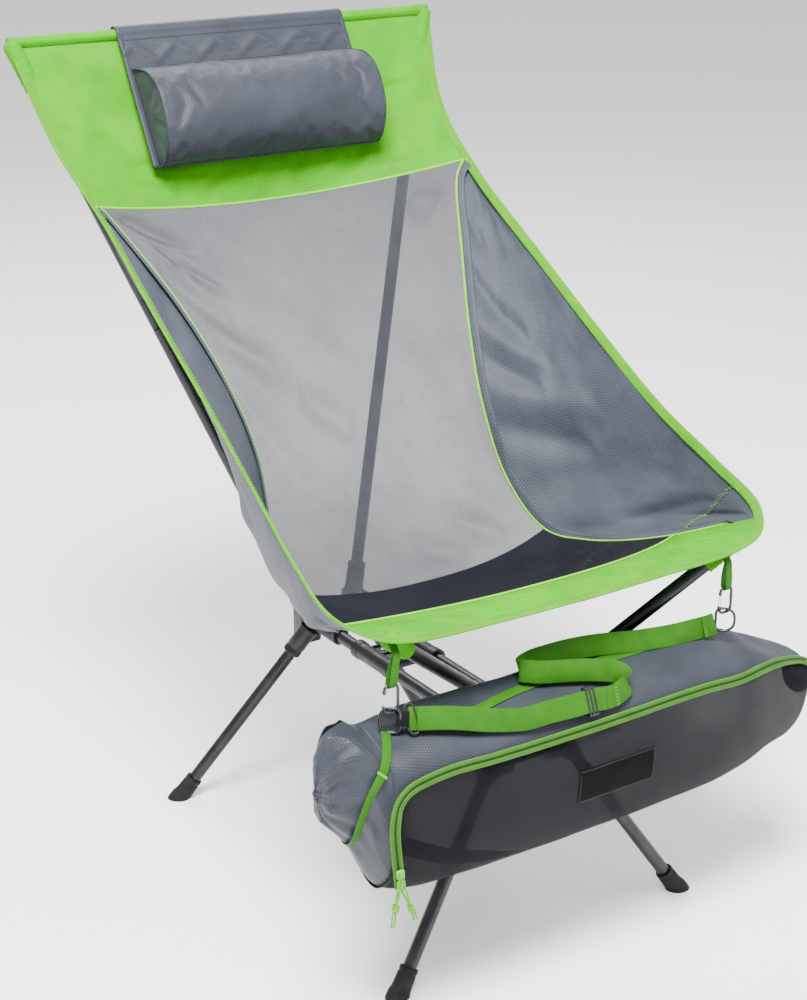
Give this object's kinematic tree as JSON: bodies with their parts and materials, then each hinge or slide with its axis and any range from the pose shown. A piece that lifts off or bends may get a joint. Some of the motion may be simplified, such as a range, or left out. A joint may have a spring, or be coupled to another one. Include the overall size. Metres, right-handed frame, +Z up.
{
  "type": "ultralight backpacking chair",
  "caption": "High-back ultralight camping chair with a shock-corded pole frame, a netting sling with a headrest pillow, and its carry sack clipped under the seat front.",
  "frame": {"origin": "on the ground under the middle of the chair", "axes": "+Z up, the sitter faces -Y, +X towards the sitter's left hand"},
  "size_m": [0.668, 0.8132, 0.9881],
  "materials": {
    "pole": "satin",
    "moulded_plastic": "satin",
    "rubber": "matte",
    "green_cloth": "matte",
    "slate_cloth": "matte",
    "light_netting": "matte",
    "dark_netting": "matte",
    "webbing": "matte",
    "elastic": "matte",
    "black_metal": "satin",
    "wire": "satin"
  },
  "bodies": {
    "chair": {"front_cross_bar": "pole", "rear_cross_bar": "pole", "spine_pole_left": "pole", "spine_pole_right": "pole", "spine_bridge": "moulded_plastic", "front_hub_left": "moulded_plastic", "front_hub_right": "moulded_plastic", "rear_hub_left": "moulded_plastic", "rear_hub_right": "moulded_plastic", "shock_cord_front_left": "elastic", "shock_cord_front_right": "elastic", "shock_cord_rear_left": "elastic", "shock_cord_rear_right": "elastic", "front_pole_left": "pole", "front_pole_right": "pole", "front_tip_left": "moulded_plastic", "front_tip_right": "moulded_plastic", "front_pocket_left": "green_cloth", "front_pocket_right": "green_cloth", "rear_pole_lower_left": "pole", "rear_pole_lower_right": "pole", "rear_pole_upper_left": "pole", "rear_pole_upper_right": "pole", "rear_tip_left": "moulded_plastic", "rear_tip_right": "moulded_plastic", "rear_pocket_left": "green_cloth", "rear_pocket_right": "green_cloth", "back_netting": "light_netting", "seat_netting": "dark_netting", "top_panel": "green_cloth", "top_hem": "green_cloth", "front_band": "green_cloth", "side_panel_left": "slate_cloth", "side_panel_right": "slate_cloth", "edge_binding_left": "green_cloth", "edge_binding_right": "green_cloth", "webbing_loop_left": "webbing", "webbing_loop_right": "webbing"},
    "leg_assembly_front_left": {"leg_front_left": "pole", "foot_front_left": "rubber"},
    "leg_assembly_front_right": {"leg_front_right": "pole", "foot_front_right": "rubber"},
    "leg_assembly_rear_left": {"leg_rear_left": "pole", "foot_rear_left": "rubber"},
    "leg_assembly_rear_right": {"leg_rear_right": "pole", "foot_rear_right": "rubber"},
    "headrest": {"pillow": "slate_cloth"},
    "sack": {"sack_shell": "slate_cloth", "sack_netting": "dark_netting", "zip": "webbing", "shoulder_strap": "webbing", "carabiner_left": "black_metal", "carabiner_right": "black_metal", "d_ring_left": "moulded_plastic", "d_ring_right": "moulded_plastic"},
    "gate_left": {"carabiner_gate_left": "wire"},
    "gate_right": {"carabiner_gate_right": "wire"},
    "slider_lower": {"zip_slider_lower": "moulded_plastic"},
    "slider_upper": {"zip_slider_upper": "moulded_plastic"},
    "adjuster": {"strap_adjuster": "moulded_plastic"}
  },
  "joints": [
    {"name": "leg_front_left_pull", "type": "slide", "parent": "chair", "child": "leg_assembly_front_left", "axis": [-0.5499, -0.1416, -0.8232], "range_m": [0, 0.045], "stiffness_N_per_m": 100, "springref_m": -0.05},
    {"name": "leg_front_right_pull", "type": "slide", "parent": "chair", "child": "leg_assembly_front_right", "axis": [0.5499, -0.1416, -0.8232], "range_m": [0, 0.045], "stiffness_N_per_m": 100, "springref_m": -0.05},
    {"name": "leg_rear_left_pull", "type": "slide", "parent": "chair", "child": "leg_assembly_rear_left", "axis": [-0.5307, 0.272, -0.8027], "range_m": [0, 0.045], "stiffness_N_per_m": 100, "springref_m": -0.05},
    {"name": "leg_rear_right_pull", "type": "slide", "parent": "chair", "child": "leg_assembly_rear_right", "axis": [0.5307, 0.272, -0.8027], "range_m": [0, 0.045], "stiffness_N_per_m": 100, "springref_m": -0.05},
    {"name": "headrest_flip", "type": "hinge", "parent": "chair", "child": "headrest", "pos_m": [0, 0.396, 0.978], "axis": [-1, 0, 0], "range_deg": [0, 80]},
    {"name": "sack_swing", "type": "hinge", "parent": "chair", "child": "sack", "pos_m": [0, -0.349, 0.415], "axis": [-1, 0, 0], "range_deg": [-2, 35]},
    {"name": "gate_left_press", "type": "hinge", "parent": "sack", "child": "gate_left", "pos_m": [-0.2503, -0.349, 0.3927], "axis": [0, 1, 0], "range_deg": [0, 25], "stiffness_Nm_per_rad": 0.002, "springref_deg": -17.19},
    {"name": "gate_right_press", "type": "hinge", "parent": "sack", "child": "gate_right", "pos_m": [0.2057, -0.349, 0.3927], "axis": [0, 1, 0], "range_deg": [0, 25], "stiffness_Nm_per_rad": 0.002, "springref_deg": -17.19},
    {"name": "zip_slider_upper_run", "type": "slide", "parent": "sack", "child": "slider_upper", "axis": [-0.1421, -0.1184, 0.9827], "range_m": [0, 0.055]},
    {"name": "zip_slider_lower_run", "type": "slide", "parent": "sack", "child": "slider_lower", "axis": [-0.1421, -0.1184, 0.9827], "range_m": [0, 0.055]},
    {"name": "strap_adjuster_run", "type": "slide", "parent": "sack", "child": "adjuster", "axis": [0.9988, -0.0434, -0.0217], "range_m": [-0.045, 0.02]}
  ],
  "couplings": [
    {"joint": "zip_slider_lower_run", "follows": "zip_slider_upper_run", "ratio": 1}
  ]
}
